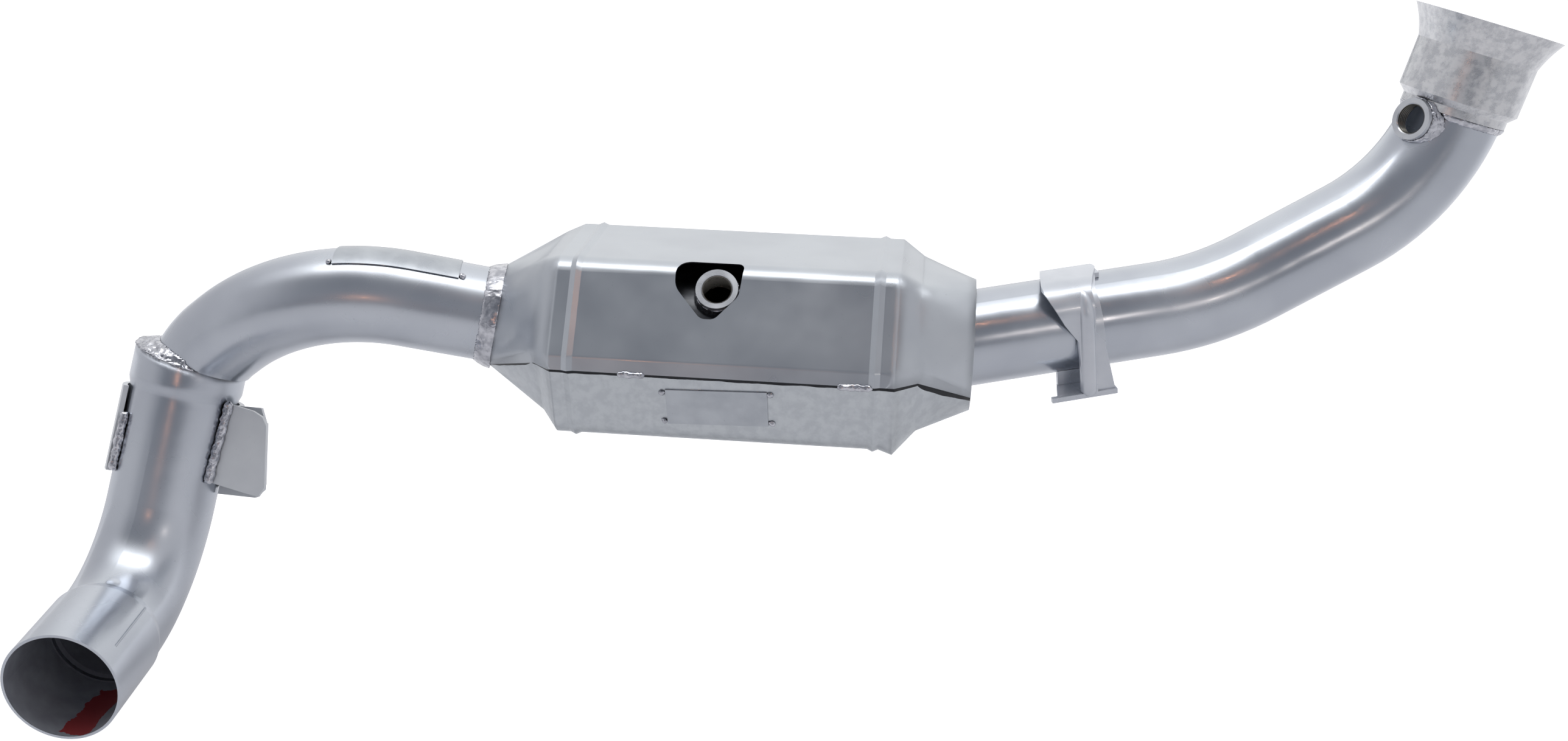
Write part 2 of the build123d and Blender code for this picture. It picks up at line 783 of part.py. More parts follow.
def dome(plane, radius, height):
    cap = plane * Sphere(radius)
    slab = plane * Box(4 * radius, 4 * radius, height, align=(Align.CENTER, Align.CENTER, Align.MIN))
    return cap & slab


def make_label_plate_tacks():
    plane = label_plane()
    tacks = []
    for x in (-label_length / 2 - tack_r, label_length / 2 + tack_r):
        for y in (-2, 2 - label_height):
            spot = plane.location * Pos(x, y, 0)
            tacks.append(dome(Plane(spot), tack_r, tack_r))
    return tacks


def make_shield_seam_tacks():
    tacks = []
    for side in (-1, 1):
        for start, finish in ((-55, -43), (70, 86)):
            y = side * (shield_half_width - 0.2)
            z = lip_drop - 0.6
            bead = bead_between(Vector(start, y, z), Vector(finish, y, z), tack_r)
            tacks.append(bead)
    return tacks


def make_outlet_neck_weld():
    # fills the ring between the shield's left opening and the pipe, and stands on the pipe outside it
    start = outlet_root + outlet_dir * 20.0
    return ring_weld(Plane(origin=start, z_dir=outlet_dir), pipe_r, left_opening_r + 0.8, 11.0)


# Outlet pipe and its plate

outlet_points = [outlet_root, outlet_corner, outlet_corner_2, outlet_end]
outlet_radii = [outlet_radius, outlet_radius_2]


def make_outlet_pipe():
    pipe = bent_tube(outlet_points, outlet_radii, pipe_r, pipe_r - pipe_wall)
    return keep_below(pipe, tail_top, joint_dir)


def outlet_side():
    # square to the outlet bend, pointing towards the view
    hinge = unit(outlet_dir.cross(outlet_run_dir))
    return hinge if hinge.dot(toward_view) > 0 else -hinge


def make_pipe_label_plate():
    # a curved plate that follows the pipe over its top, from the front to the back
    inner = pipe_r + badge_gap
    section = band(inner, inner + label_thickness, badge_from, badge_to)
    side = outlet_side()
    plate = along_route(outlet_points, outlet_radii, side, lambda plane: badge_face(plane, section))
    start = outlet_root + outlet_dir * badge_start
    plate = keep_below(plate, start, -outlet_dir)
    turn_start, centre, hinge = outlet_bend()
    rest = badge_length - (turn_start - start).length
    angle = rest / outlet_radius
    spoke = turn_start - centre
    finish = centre + spoke * math.cos(angle) + hinge.cross(spoke) * math.sin(angle)
    heading = unit(hinge.cross(finish - centre))
    return keep_below(plate, finish, heading)


def badge_face(plane, section):
    # the band is drawn with x towards the view and y up
    up = plane.z_dir.cross(plane.x_dir)
    flip = 1 if up.Z > 0 else -1
    drawn = section if flip > 0 else mirror(section, about=Plane.XZ)
    return plane * drawn


def outlet_bend():
    turn = math.radians(outlet_dir.get_angle(outlet_run_dir))
    turn_start = outlet_corner - outlet_dir * (outlet_radius * math.tan(turn / 2))
    hinge = unit(outlet_dir.cross(outlet_run_dir))
    centre = turn_start + hinge.cross(outlet_dir) * outlet_radius
    return turn_start, centre, hinge


def make_pipe_label_tacks():
    turn_start, centre, hinge = outlet_bend()
    side = outlet_side()
    tacks = []
    for along in (badge_start, badge_start + badge_length):
        spot, heading = on_outlet(along)
        ahead = square_to(side, heading)
        up = heading.cross(ahead)
        if up.Z < 0:
            up = -up
        shift = -tack_r if along == badge_start else tack_r
        for angle in (badge_from + 8, badge_to - 4):
            out = up * math.cos(math.radians(angle)) + ahead * math.sin(math.radians(angle))
            place = spot + heading * shift + out * (pipe_r + 0.3)
            tacks.append(Pos(*place) * Sphere(tack_r) - outlet_rod())
    plate = make_pipe_label_plate()
    return [tack - plate for tack in tacks]


def on_outlet(along):
    # a point on the outlet pipe's centre line, and the way that it runs there
    turn_start, centre, hinge = outlet_bend()
    straight = (turn_start - outlet_root).length
    if along <= straight:
        return outlet_root + outlet_dir * along, outlet_dir
    angle = (along - straight) / outlet_radius
    spoke = turn_start - centre
    spot = centre + spoke * math.cos(angle) + hinge.cross(spoke) * math.sin(angle)
    return spot, unit(hinge.cross(spot - centre))


def outlet_rod():
    return bent_rod(outlet_points, outlet_radii, pipe_r)


# Tail pipe, its joint and its bracket

def tail_spans(grow, top_extra, hollow):
    # the tail pipe's outside, or its inside when it is grown by minus the wall
    lead = tail_top - tail_dir * top_extra
    turn = math.radians(tail_dir.get_angle(mouth_dir))
    set_back = tail_radius * math.tan(turn / 2)
    bend_start = tail_corner - tail_dir * set_back
    bend_end = tail_corner + mouth_dir * set_back
    top_r = tail_top_od / 2 + grow
    run_r = tail_r + grow
    mouth_r = tail_mouth_od / 2 + grow
    top_plane = Plane(origin=lead, z_dir=tail_dir)
    top_run = top_extra + tail_top_length
    solid = disc(top_plane, top_r, top_run)
    lower = align_cone(top_plane.offset(top_run), top_r, run_r, tail_step_length)
    start = tail_top + tail_dir * (tail_top_length + tail_step_length)
    run = disc(Plane(origin=start, z_dir=tail_dir), run_r, (bend_start - start).length)
    hinge = unit(tail_dir.cross(mouth_dir))
    centre = bend_start + hinge.cross(tail_dir) * tail_radius
    bend = revolve(Plane(origin=bend_start, z_dir=tail_dir) * Circle(run_r), axis=Axis(centre, hinge),
                   revolution_arc=math.degrees(turn))
    last = (tail_mouth - bend_end).length
    plain = last - tail_mouth_length - tail_step_length
    mouth_plane = Plane(origin=bend_end, z_dir=mouth_dir)
    pieces = [lower, run, bend]
    if plain > 0.01:
        pieces.append(disc(mouth_plane, run_r, plain))
    pieces.append(align_cone(mouth_plane.offset(plain), run_r, mouth_r, tail_step_length))
    pieces.append(disc(mouth_plane.offset(plain + tail_step_length), mouth_r, tail_mouth_length + hollow))
    for piece in pieces:
        solid = solid + piece
    return solid


def align_cone(plane, start_r, end_r, length):
    return plane * Cone(start_r, end_r, length, align=(Align.CENTER, Align.CENTER, Align.MIN))


def make_tail_pipe():
    pipe = tail_spans(0.0, 30.0, 0.0) - tail_spans(-tail_wall, 40.0, 5.0)
    return keep_below(pipe, tail_top, -joint_dir)


def make_tail_joint_weld():
    # a rounded collar of weld from the tail pipe's open top up to the outlet pipe
    stretch = 1 / tail_dir.dot(joint_dir)
    pipe_stretch = 1 / outlet_last_dir.dot(joint_dir)
    rim_axis = square_to(tail_dir, joint_dir)
    rim_r = tail_top_od / 2
    meet = outlet_corner_2 + outlet_last_dir * ((tail_top - outlet_corner_2).dot(joint_dir) * pipe_stretch)
    rings = []
    for height, grow in ((0.0, 0.6), (joint_weld_bulge, -1.2)):
        centre = tail_top - tail_dir * (height * stretch)
        plane = Plane(origin=centre, x_dir=rim_axis, z_dir=-joint_dir)
        rings.append(plane * Ellipse((rim_r + grow) * stretch, rim_r + grow))
    crown_centre = meet - outlet_last_dir * (joint_weld_rise * pipe_stretch)
    crown = Plane(origin=crown_centre, x_dir=rim_axis, z_dir=-joint_dir)
    rings.append(crown * Circle(pipe_r - 2.0))
    return loft(rings, ruled=True) - outlet_rod()


saddle_ahead = square_to(toward_view, tail_dir)
saddle_right = saddle_ahead.cross(tail_dir)


def on_saddle(across, ahead, along):
    # from the tail pipe's top: to the right of the view, towards the view, and down the pipe
    return tail_top + saddle_right * across + saddle_ahead * ahead + tail_dir * along


def sheet_between(spots, direction, thickness):
    face = make_face(Polyline(*[on_saddle(*spot) for spot in spots], close=True))
    return extrude(face, thickness, dir=direction)


def make_tail_bracket():
    inner = tail_r + saddle_stand_off
    outer = inner + saddle_thickness
    plane = Plane(origin=on_saddle(0, 0, saddle_start), x_dir=saddle_right, z_dir=tail_dir)
    bracket = extrude(plane * band(inner, outer, saddle_from, saddle_to), saddle_height, dir=tail_dir)
    # the wing is a shallow channel: a face, a side that leans back and a plate behind
    back = wing_ahead - wing_depth
    face = [(across, wing_ahead, along) for across, along in wing_outline]
    behind = [(across, back, along) for across, along in wing_back]
    bracket += sheet_between(face, -saddle_ahead, saddle_thickness)
    bracket += sheet_between(behind, -saddle_ahead, saddle_thickness)
    high, low = wing_outline[3], wing_outline[4]
    inset = high[0] - saddle_thickness
    side = [(high[0], wing_ahead, high[1]), (high[0] - wing_lean, back - saddle_thickness, high[1]),
            (inset - wing_lean, back - saddle_thickness, high[1]), (inset, wing_ahead, high[1])]
    way = saddle_right * (low[0] - high[0]) + tail_dir * (low[1] - high[1])
    bracket += sheet_between(side, unit(way), way.length)
    return bracket - disc(Plane(origin=tail_top, z_dir=tail_dir), inner, 140)


def make_tail_bracket_welds():
    rod = tail_spans(0.0, 30.0, 0.0)
    bracket = make_tail_bracket()
    right = bead_between(on_saddle(33.6, 9.5, 22.5), on_saddle(31.6, 11.0, 69.5), weld_r)
    left = bead_between(on_saddle(-22.6, 24.6, 41.0), on_saddle(-23.6, 23.6, 73.0), weld_r)
    return [bead - rod - bracket for bead in (right, left)]


def as_group(pieces):
    return Compound(children=[solid for piece in pieces for solid in piece.solids()])


inlet_brick_x = body_bung_x + brick_gap / 2
outlet_brick_x = body_bung_x - brick_gap / 2 - brick_length

upper_shield = make_upper_heat_shield()
lower_shield = make_lower_heat_shield()

pieces = {
    "inlet_flare_collar": make_inlet_flare_collar(),
    "collar_weld": make_collar_weld(),
    "inlet_pipe": make_inlet_pipe(),
    "inlet_sensor_bung": make_inlet_sensor_bung(),
    "inlet_bung_weld": make_inlet_bung_weld(),
    "inlet_hanger_bracket": make_inlet_hanger_bracket(),
    "hanger_bracket_welds": as_group(make_hanger_bracket_welds()),
    "upper_heat_shield": upper_shield,
    "lower_heat_shield": lower_shield,
    "shield_seam_tacks": as_group([tack - upper_shield - lower_shield for tack in make_shield_seam_tacks()]),
    "shield_label_plate": make_shield_label_plate(),
    "label_plate_tacks": as_group(make_label_plate_tacks()),
    "can_upper_half": make_can_upper_half(),
    "can_lower_half": make_can_lower_half(),
    "inlet_neck_weld": make_inlet_neck_weld(),
    "inlet_brick": make_brick(inlet_brick_x),
    "outlet_brick": make_brick(outlet_brick_x),
    "inlet_mat": make_mat(inlet_brick_x),
    "outlet_mat": make_mat(outlet_brick_x),
    "body_sensor_bung": make_body_sensor_bung(),
    "body_bung_weld": make_body_bung_weld(),
    "outlet_pipe": make_outlet_pipe(),
    "outlet_neck_weld": make_outlet_neck_weld() - upper_shield - lower_shield,
    "pipe_label_plate": make_pipe_label_plate(),
    "pipe_label_tacks": as_group(make_pipe_label_tacks()),
    "tail_pipe": make_tail_pipe(),
    "tail_joint_weld": make_tail_joint_weld(),
    "tail_bracket": make_tail_bracket(),
    "tail_bracket_welds": as_group(make_tail_bracket_welds()),
}

# the origin goes to the collar's bore, halfway up its straight wall
collar_seat = inlet_end + collar_dir * ((collar_shoulder + collar_length) / 2)

for name, piece in pieces.items():
    export_step(Pos(*(-collar_seat)) * piece, f"parts/{name}.step")
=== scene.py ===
import json
import math

import bmesh
import bpy
from mathutils import Matrix, Vector


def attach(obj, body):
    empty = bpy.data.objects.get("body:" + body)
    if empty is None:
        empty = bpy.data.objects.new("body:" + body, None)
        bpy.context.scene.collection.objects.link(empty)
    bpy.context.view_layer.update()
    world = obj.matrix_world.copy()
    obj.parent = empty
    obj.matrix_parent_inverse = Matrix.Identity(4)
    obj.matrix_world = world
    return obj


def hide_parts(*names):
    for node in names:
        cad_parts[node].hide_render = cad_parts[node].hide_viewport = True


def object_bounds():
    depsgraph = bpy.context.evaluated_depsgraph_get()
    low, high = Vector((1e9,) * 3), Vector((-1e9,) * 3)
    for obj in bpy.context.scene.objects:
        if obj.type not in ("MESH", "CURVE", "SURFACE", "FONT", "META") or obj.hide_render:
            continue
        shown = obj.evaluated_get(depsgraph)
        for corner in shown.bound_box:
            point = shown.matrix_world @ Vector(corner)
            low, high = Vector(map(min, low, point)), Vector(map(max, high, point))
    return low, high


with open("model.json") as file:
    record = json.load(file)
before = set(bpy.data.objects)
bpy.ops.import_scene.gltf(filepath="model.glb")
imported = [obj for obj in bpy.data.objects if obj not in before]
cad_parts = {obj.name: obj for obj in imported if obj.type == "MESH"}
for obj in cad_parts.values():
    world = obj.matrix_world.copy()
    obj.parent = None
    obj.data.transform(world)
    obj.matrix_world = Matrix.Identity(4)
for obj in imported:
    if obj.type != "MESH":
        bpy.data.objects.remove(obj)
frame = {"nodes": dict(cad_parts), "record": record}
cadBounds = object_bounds()
print("CAD loaded:", len(frame["nodes"]), "nodes")

scene = bpy.context.scene
mounts = {mount["name"]: mount for mount in frame["record"]["mounts"]}
mm = 0.001

# The CAD's origin is in the inlet collar's bore; this is the converter's middle, from which the photo was
# measured
bodyOrigin = Vector((-426.4225, -73.6556, -159.7759)) * mm


def fromBody(x, y, z):
    return bodyOrigin + Vector((x, y, z)) * mm


def colour(hexValue):
    # colours are written as sRGB hex values and turned linear here
    channels = []
    for shift in (16, 8, 0):
        value = ((hexValue >> shift) & 255) / 255
        channels.append(value / 12.92 if value <= 0.04045 else ((value + 0.055) / 1.055) ** 2.4)
    return (*channels, 1.0)


def addNode(tree, kind, inputs=None, **settings):
    node = tree.nodes.new(kind)
    for name, value in settings.items():
        setattr(node, name, value)
    for key, value in (inputs or {}).items():
        socket = node.inputs[key]
        if isinstance(value, bpy.types.NodeSocket):
            tree.links.new(value, socket)
        else:
            socket.default_value = value
    return node


def newMaterial(name):
    material = bpy.data.materials.new(name)
    material.use_nodes = True
    tree = material.node_tree
    tree.nodes.clear()
    output = tree.nodes.new("ShaderNodeOutputMaterial")
    return material, tree, output


def maths(tree, operation, *values):
    return addNode(tree, "ShaderNodeMath", dict(enumerate(values)), operation=operation).outputs[0]


def noise(tree, place, size, detail, breakUp=0.5):
    # a random pattern whose patches are about size millimetres across
    return addNode(tree, "ShaderNodeTexNoise", {
        "Vector": place, "Scale": 1 / (size * mm), "Detail": detail, "Roughness": breakUp})


def bump(tree, height, depth, **inputs):
    # relief of a depth in millimetres
    return addNode(tree, "ShaderNodeBump", {
        "Height": height, "Strength": 1.0, "Distance": depth * mm, **inputs})


def ramp(tree, factor, stops):
    node = tree.nodes.new("ShaderNodeValToRGB")
    elements = node.color_ramp.elements
    while len(elements) < len(stops):
        elements.new(0.5)
    for element, (position, value) in zip(elements, stops):
        element.position = position
        element.color = value
    tree.links.new(factor, node.inputs["Fac"])
    return node.outputs["Color"]


def alongAxis(tree, place, centre, axis):
    # how far a point is along an axis and away from it, in metres
    offset = addNode(tree, "ShaderNodeVectorMath", {0: place, 1: centre}, operation="SUBTRACT")
    arm = offset.outputs["Vector"]
    along = addNode(tree, "ShaderNodeVectorMath", {0: arm, 1: axis}, operation="DOT_PRODUCT")
    across = addNode(tree, "ShaderNodeVectorMath", {0: arm, 1: axis}, operation="CROSS_PRODUCT")
    away = addNode(tree, "ShaderNodeVectorMath", {0: across.outputs["Vector"]}, operation="LENGTH")
    return along.outputs["Value"], away.outputs["Value"]


def within(tree, value, low, high):
    above = maths(tree, "GREATER_THAN", value, low)
    below = maths(tree, "LESS_THAN", value, high)
    return maths(tree, "MULTIPLY", above, below)


def mixColours(tree, factor, first, second):
    # inputs 0, 6 and 7 are the node's factor and its two colours, output 2 is the mixed colour
    return addNode(tree, "ShaderNodeMix", {0: factor, 6: first, 7: second}, data_type="RGBA").outputs[2]


# What every finish starts from, with sizes in millimetres. Mottle, grain, speck and run are how far across
# the patches of tone, the fine grain, the specks of dust and the paint's runs are. Waves and peel are how
# deep the runs and the orange peel are. Three more set the painted shade in seams and nooks: how dark it
# gets, how far it reaches and its colour
plainFinish = {
    "grain": 0.6, "detail": 3.0, "breakUp": 0.5, "spread": 0.15, "speck": 1.6, "speckLevel": 0.76,
    "paintedShade": 0.8, "shadeReach": 2.5, "shadeTone": 0x2E3034, "glossier": 0.04, "duller": 0.05,
    "run": 22, "waves": 0.25, "peel": 0.012, "coat": 0.3, "coatRoughness": 0.08}

# the shield's two beads, either side of its middle, and how far past them its creases get soft
shieldBeads = {"fromMiddle": 95, "fadeIn": 4}


def softCreases(tree, place, radius):
    # the pressing has soft creases where its middle turns into the cones, outside the two beads
    along = addNode(tree, "ShaderNodeSeparateXYZ", {0: place}).outputs["X"]
    apart = maths(tree, "ABSOLUTE", maths(tree, "SUBTRACT", along, bodyOrigin.x))
    beads, fadeIn = shieldBeads["fromMiddle"], shieldBeads["fadeIn"]
    reach = addNode(tree, "ShaderNodeMapRange", {
        "Value": apart, "From Min": beads * mm, "From Max": (beads + fadeIn) * mm,
        "To Min": 0.0, "To Max": radius * mm})
    return addNode(tree, "ShaderNodeBevel", {"Radius": reach.outputs["Result"]}, samples=8).outputs["Normal"]


def metalParts(name, look):
    # the tree that all the finishes share; the caller may change its tone and its relief
    look = {**plainFinish, **look}
    material, tree, output = newMaterial(name)
    place = addNode(tree, "ShaderNodeTexCoord").outputs["Object"]
    patches = noise(tree, place, look["mottle"], look["detail"], look["breakUp"]).outputs["Fac"]
    grain = noise(tree, place, look["grain"], 2.0).outputs["Fac"]
    tone = ramp(tree, patches, [
        (0.5 - look["spread"], colour(look["dark"])), (0.5 + look["spread"], colour(look["light"]))])
    dust = noise(tree, place, look["speck"], 1.0).outputs["Fac"]
    speck = maths(tree, "GREATER_THAN", dust, look["speckLevel"])
    tone = mixColours(tree, speck, tone, colour(look["dark"]))
    # painted shade in the seams, under lips and round the edges of what is welded on: the tone turns darker
    # where ambient occlusion finds surfaces close by
    nook = addNode(tree, "ShaderNodeAmbientOcclusion", {"Distance": look["shadeReach"] * mm}, samples=8)
    paintedShade = addNode(tree, "ShaderNodeMapRange", {
        "Value": nook.outputs["AO"], "From Min": 0.2, "From Max": 0.62,
        "To Min": look["paintedShade"], "To Max": 0.0})
    tone = mixColours(tree, paintedShade.outputs["Result"], tone, colour(look["shadeTone"]))
    rough = addNode(tree, "ShaderNodeMapRange", {
        "Value": patches, "From Min": 0.3, "From Max": 0.7,
        "To Min": look["roughness"] - look["glossier"], "To Max": look["roughness"] + look["duller"]})
    runs = bump(tree, noise(tree, place, look["run"], 1.0).outputs["Fac"], look["waves"])
    if "soften" in look:
        tree.links.new(softCreases(tree, place, look["soften"]), runs.inputs["Normal"])
    peel = bump(tree, grain, look["peel"], Normal=runs.outputs["Normal"])
    shader = addNode(tree, "ShaderNodeBsdfPrincipled", {
        "Base Color": tone, "Metallic": look["metallic"], "Roughness": rough.outputs["Result"],
        "Coat Weight": look["coat"], "Coat Roughness": look["coatRoughness"],
        "Normal": peel.outputs["Normal"]})
    tree.links.new(shader.outputs["BSDF"], output.inputs["Surface"])
    return {"material": material, "tree": tree, "place": place, "tone": tone, "runs": runs, "peel": peel,
            "shader": shader}


def metal(name, look):
    return metalParts(name, look)["material"]


# heat-proof silver paint over steel tube: satin, with faint runs, a few specks of dust and a thin gloss
pipeLook = {"light": 0xCDD2DA, "dark": 0xC0C5CE, "roughness": 0.25, "metallic": 0.95, "mottle": 60}
silverPipe = metal("Silver heat paint on pipe", pipeLook)

# the same paint on pressed sheet, a little duller
silverShield = metal("Silver heat paint on shield", {
    "light": 0xCBD0D6, "dark": 0xC0C5CC, "roughness": 0.3, "metallic": 0.95, "mottle": 50, "waves": 0.35,
    "soften": 9})

# painted shade under the upper half's lip: a dark band on the lower half along the open joint, which dips
# towards both ends of the shield
seam = {"height": -1.7, "dips": ((-111.0, -152.0), (113.0, 144.0)), "drop": 18.3, "bow": 0.75, "above": 1.9,
        "below": 2.5, "wander": 12, "wanderDepth": 1.8, "shade": 0x26282C}


def seamShade(parts):
    tree = parts["tree"]
    place = addNode(tree, "ShaderNodeSeparateXYZ", {0: parts["place"]})
    drops = []
    for start, end in seam["dips"]:
        share = addNode(tree, "ShaderNodeMapRange", {
            "Value": place.outputs["X"],
            "From Min": fromBody(start, 0, 0).x, "From Max": fromBody(end, 0, 0).x})
        bow = maths(tree, "POWER", share.outputs["Result"], seam["bow"])
        drops.append(maths(tree, "MULTIPLY", bow, seam["drop"] * mm))
    level = maths(tree, "SUBTRACT", fromBody(0, 0, seam["height"]).z, maths(tree, "ADD", *drops))
    under = maths(tree, "SUBTRACT", level, place.outputs["Z"])
    wander = noise(tree, parts["place"], seam["wander"], 2.0).outputs["Fac"]
    edge = maths(tree, "MULTIPLY_ADD", wander, -seam["wanderDepth"] * mm, under)
    line = within(tree, edge, -seam["above"] * mm, seam["below"] * mm)
    return mixColours(tree, line, parts["tone"], colour(seam["shade"]))


def galvanisedSheet():
    # zinc-coated sheet under thin paint: small cloudy patches
    parts = metalParts("Galvanised lower shield", {
        "light": 0xD2D7DB, "dark": 0xC6CBD0, "roughness": 0.36, "metallic": 0.88, "mottle": 6, "grain": 0.8,
        "detail": 4.0, "breakUp": 0.6, "spread": 0.1, "waves": 0.3, "soften": 9})
    # the lower half gets the painted shade under the upper half's lip
    parts["tree"].links.new(seamShade(parts), parts["shader"].inputs["Base Color"])
    return parts["material"]


galvanised = galvanisedSheet()

collar = {"bore": mounts["inlet_socket"], "inside": 0x6A6C72, "insideRoughness": 0.5}


def collarPaint():
    # cast collar with thin paint, cloudy white in places; painted shade inside, where the inner wall is
    # darker, and duller too
    parts = metalParts("Thin paint on cast collar", {
        "light": 0xE8E9EB, "dark": 0xCED0D4, "roughness": 0.28, "metallic": 0.75, "mottle": 5, "grain": 0.7,
        "detail": 5.0, "breakUp": 0.62, "spread": 0.09, "waves": 0.4, "peel": 0.03})
    tree, axis = parts["tree"], collar["bore"]["axis"]
    # the inner wall is told by its normals, which point to the axis
    offset = addNode(tree, "ShaderNodeVectorMath", {
        0: parts["place"], 1: collar["bore"]["pos_m"]}, operation="SUBTRACT").outputs["Vector"]
    along = addNode(tree, "ShaderNodeVectorMath", {0: offset, 1: axis}, operation="DOT_PRODUCT")
    foot = addNode(tree, "ShaderNodeVectorMath", {
        0: axis, "Scale": along.outputs["Value"]}, operation="SCALE")
    outward = addNode(tree, "ShaderNodeVectorMath", {
        0: offset, 1: foot.outputs["Vector"]}, operation="SUBTRACT")
    normal = addNode(tree, "ShaderNodeNewGeometry").outputs["True Normal"]
    facing = addNode(tree, "ShaderNodeVectorMath", {
        0: outward.outputs["Vector"], 1: normal}, operation="DOT_PRODUCT")
    inner = maths(tree, "LESS_THAN", facing.outputs["Value"], 0.0)
    # painted shade: the inner wall gets a darker tone
    tone = mixColours(tree, inner, parts["tone"], colour(collar["inside"]))
    tree.links.new(tone, parts["shader"].inputs["Base Color"])
    rough = parts["shader"].inputs["Roughness"]
    duller = addNode(tree, "ShaderNodeMix", {
        0: inner, 2: rough.links[0].from_socket, 3: collar["insideRoughness"]})
    tree.links.new(duller.outputs[0], rough)
    return parts["material"]


paintedCollar = collarPaint()

# thicker, duller coats of the paint on the two pressed brackets
hangerPaint = metal("Silver paint on hanger", {
    "light": 0xDCE0E7, "dark": 0xCDD2DA, "roughness": 0.3, "metallic": 0.5, "mottle": 30, "waves": 0.4})
bracketPaint = metal("Silver paint on bracket", {
    "light": 0xE4E8EC, "dark": 0xD9DDE2, "roughness": 0.38, "metallic": 0.15, "mottle": 30, "waves": 0.4})

# weld bead under the same paint: glossier and darker, so that its ripples glint
weldPaint = metal("Painted weld bead", {
    "light": 0xD8D9E0, "dark": 0xB0B2BA, "roughness": 0.18, "metallic": 0.95, "mottle": 4, "grain": 0.9,
    "spread": 0.1, "waves": 0.5, "peel": 0.05, "coat": 0.5})

# thin steel plate, painted with the rest after it was tacked on
plateSteel = metal("Painted label plate", {
    "light": 0xC4C9CF, "dark": 0xB4B9C0, "roughness": 0.3, "metallic": 0.95, "mottle": 15})

# bare rolled steel of the can, darkened by heat
canSteel = metal("Dark can steel", {
    "light": 0x6A6C71, "dark": 0x46484C, "roughness": 0.42, "metallic": 0.9, "mottle": 14})

# fired ceramic with its sandy washcoat, and the pressed fibre mat round it
ceramic = metal("Ceramic brick", {
    "light": 0xCBBFA3, "dark": 0xB9AC90, "roughness": 0.85, "metallic": 0.0, "mottle": 8, "coat": 0.0})
fibreMat = metal("Fibre mat", {
    "light": 0xB7B1A4, "dark": 0xA09A8C, "roughness": 0.95, "metallic": 0.0, "mottle": 5, "coat": 0.0})

thread = {"pitch": 1.5, "depth": 0.3, "pastBore": 0.45, "tone": 0x8D8A84}


def threadedRing(name, port):
    # painted sensor ring; the thread is ripples on the wall of its bore
    parts = metalParts(name, {
        "light": 0xD6D9DE, "dark": 0xC6C9CF, "roughness": 0.28, "metallic": 0.9, "mottle": 12})
    tree, shader = parts["tree"], parts["shader"]
    along, away = alongAxis(tree, parts["place"], port["pos_m"], port["axis"])
    wave = maths(tree, "SINE", maths(tree, "MULTIPLY", along, math.tau / (thread["pitch"] * mm)))
    bore = within(tree, away, 0.0, (port["dims"]["r_mm"] + thread["pastBore"]) * mm)
    turns = bump(tree, maths(tree, "MULTIPLY", wave, bore), thread["depth"],
                 Normal=parts["peel"].outputs["Normal"])
    tree.links.new(turns.outputs["Normal"], shader.inputs["Normal"])
    tree.links.new(mixColours(tree, bore, parts["tone"], colour(thread["tone"])), shader.inputs["Base Color"])
    return parts["material"]


inletRing = threadedRing("Threaded ring on the pipe", mounts["inlet_sensor_port"])
bodyRing = threadedRing("Threaded ring on the can", mounts["body_sensor_port"])

# the tail pipe's end; each hollow has its start and end, along the axis from the slip end's middle, and its
# radius
slipEnd = mounts["outlet_socket"]
mouth = {"centre": Vector(slipEnd["pos_m"]), "axis": Vector(slipEnd["axis"]).normalized(),
         "hollows": ((-29.5, 28.2, 32.15), (-62, -29.5, 31.0)), "metallic": 0.1, "roughness": 0.5,
         "sootDark": 0x8A8D96, "sootLight": 0x9DA1A9, "sootPatches": 14}
primer = {"centre": (-770.5, -222.0, -354.5), "axis": Vector((0.08, 0.99, 0.02)).normalized(),
          "start": -24, "end": 22, "reach": 9.5, "ragged": 7, "sway": 9, "tone": 0x9C3A3C}
tubeSeam = {"angle": 145, "radius": 33.5, "width": 0.9, "start": -34, "end": 14}
dent = {"centre": (-776.1, -187.6, -294.8), "radius": 5, "strength": -2.0}
markDepth = 0.35
waist = {"fromBody": (-339.4, -20.0, -49.8), "full": 38, "gone": 48, "soften": 7}


def insideMouth(tree, place):
    along, away = alongAxis(tree, place, mouth["centre"], mouth["axis"])
    hollows = []
    for start, end, radius in mouth["hollows"]:
        stretch = within(tree, along, start * mm, end * mm)
        bore = within(tree, away, 0.0, radius * mm)
        hollows.append(maths(tree, "MULTIPLY", stretch, bore))
    return maths(tree, "ADD", *hollows)


def mouthTone(tree, place):
    # sooty steel, with a patch of dark red primer low on the right that has a ragged outline
    soot = noise(tree, place, mouth["sootPatches"], 3.0).outputs["Fac"]
    sootTone = ramp(tree, soot, [(0.35, colour(mouth["sootDark"])), (0.7, colour(mouth["sootLight"]))])
    ragged = noise(tree, place, primer["ragged"], 3.0).outputs["Color"]
    sway = addNode(tree, "ShaderNodeVectorMath", {0: ragged, "Scale": primer["sway"] * mm}, operation="SCALE")
    swayed = addNode(tree, "ShaderNodeVectorMath", {0: place, 1: sway.outputs["Vector"]}, operation="ADD")
    along, away = alongAxis(tree, swayed.outputs["Vector"], Vector(primer["centre"]) * mm, primer["axis"])
    length = within(tree, along, primer["start"] * mm, primer["end"] * mm)
    width = within(tree, away, 0.0, primer["reach"] * mm)
    return mixColours(tree, maths(tree, "MULTIPLY", length, width), sootTone, colour(primer["tone"]))


